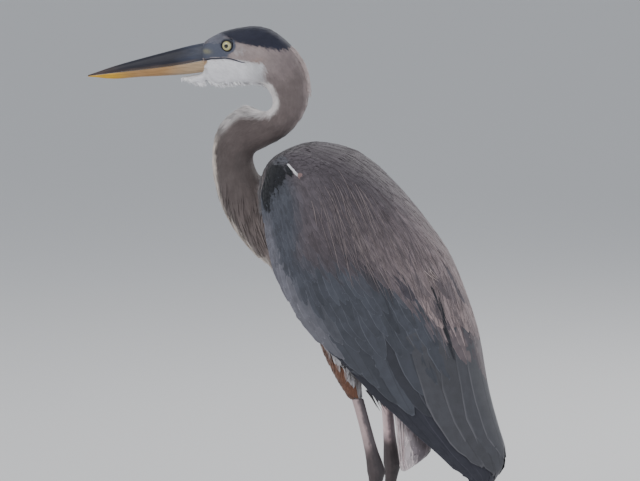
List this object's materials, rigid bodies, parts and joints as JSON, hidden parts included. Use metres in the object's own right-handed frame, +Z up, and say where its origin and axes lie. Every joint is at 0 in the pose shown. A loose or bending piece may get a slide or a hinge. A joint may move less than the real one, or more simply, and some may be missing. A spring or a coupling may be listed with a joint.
{
  "type": "great blue heron model",
  "caption": "Life-size still model of a standing great blue heron, neck drawn into an S, wings folded, both feet flat on the floor.",
  "frame": {"origin": "on the floor, below the middle of the whole bird", "axes": "+Z up; the bird faces -X; its left side is -Y"},
  "size_m": [0.5136, 0.2136, 0.7234],
  "materials": {
    "plumage_head": "short pale feathers with a blue-black crown",
    "plumage_neck": "soft brown-grey feathers, white and black stripe in front",
    "plumage_body": "mauve-grey mantle and pale belly",
    "plumage_wing": "slate blue-grey folded feathers",
    "plumage_thigh": "rufous feathers",
    "plumage_tail": "grey tail, whitish below",
    "bill_upper": "dark slate horn, satin",
    "bill_lower": "orange-yellow horn, satin",
    "eye": "pale yellow iris, black pupil, wet gloss",
    "leg_skin": "scaled skin, slate behind and pinkish in front",
    "claw": "dark horn"
  },
  "bodies": {
    "root": {"bill_lower": "bill_lower", "bill_upper": "bill_upper", "chin": "plumage_head", "claw_left_hallux": "claw", "claw_left_inner": "claw", "claw_left_middle": "claw", "claw_left_outer": "claw", "claw_right_hallux": "claw", "claw_right_inner": "claw", "claw_right_middle": "claw", "claw_right_outer": "claw", "eye_left": "eye", "eye_right": "eye", "foot_left": "leg_skin", "foot_right": "leg_skin", "head": "plumage_head", "neck_base": "plumage_neck", "neck_bend": "plumage_neck", "neck_lower": "plumage_neck", "neck_middle": "plumage_neck", "neck_nape": "plumage_neck", "neck_upper": "plumage_neck", "shank_left": "leg_skin", "shank_right": "leg_skin", "tail": "plumage_tail", "tarsus_left": "leg_skin", "tarsus_right": "leg_skin", "thigh_left": "plumage_thigh", "thigh_right": "plumage_thigh", "toe_left_hallux": "leg_skin", "toe_left_inner": "leg_skin", "toe_left_middle": "leg_skin", "toe_left_outer": "leg_skin", "toe_right_hallux": "leg_skin", "toe_right_inner": "leg_skin", "toe_right_middle": "leg_skin", "toe_right_outer": "leg_skin", "trunk": "plumage_body", "wing_left_coverts": "plumage_wing", "wing_left_flight": "plumage_wing", "wing_right_coverts": "plumage_wing", "wing_right_flight": "plumage_wing"}
  },
  "joints": []
}
